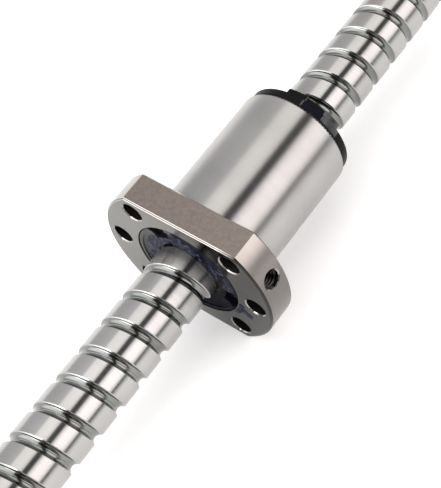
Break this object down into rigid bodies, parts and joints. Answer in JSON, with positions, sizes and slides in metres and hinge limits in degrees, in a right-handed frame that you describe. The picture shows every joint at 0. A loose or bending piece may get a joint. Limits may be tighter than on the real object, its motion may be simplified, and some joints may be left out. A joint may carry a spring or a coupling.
{
  "type": "ball screw nut",
  "caption": "Flanged ball screw nut with two flats, plastic return caps and a grease port, on a length of its ball screw.",
  "frame": {"origin": "centre of the flange's front face, on the screw axis", "axes": "+X along the screw axis from the flange to the barrel end, +Z normal to the upper flat, +Y along the flats"},
  "size_m": [0.225, 0.058, 0.044],
  "materials": {
    "nut_steel": "satin",
    "screw_steel": "polished",
    "ball_steel": "polished",
    "cap_plastic": "satin",
    "guide_plastic": "satin",
    "felt": "matte"
  },
  "bodies": {
    "nut": {"nut_body": "nut_steel", "front_return_cap": "cap_plastic", "rear_return_cap": "cap_plastic", "front_ball_guide": "guide_plastic", "rear_ball_guide": "guide_plastic", "front_turn_balls": "ball_steel", "load_balls_turn_1": "ball_steel", "load_balls_turn_2": "ball_steel", "load_balls_turn_3": "ball_steel", "load_balls_turn_4": "ball_steel", "rear_turn_balls": "ball_steel", "return_balls": "ball_steel"},
    "wipers": {"front_wiper": "felt", "rear_wiper": "felt"},
    "screw": {"screw_shaft": "screw_steel"}
  },
  "joints": [
    {"name": "screw_turn", "type": "hinge", "parent": "nut", "child": "wipers", "pos_m": [0, 0, 0], "axis": [1, 0, 0], "range_deg": [-2521, 3061]},
    {"name": "screw_travel", "type": "slide", "parent": "wipers", "child": "screw", "axis": [1, 0, 0], "range_m": [-0.07, 0.085]}
  ],
  "couplings": [
    {"joint": "screw_turn", "follows": "screw_travel", "rad_per_m": 628.32}
  ]
}
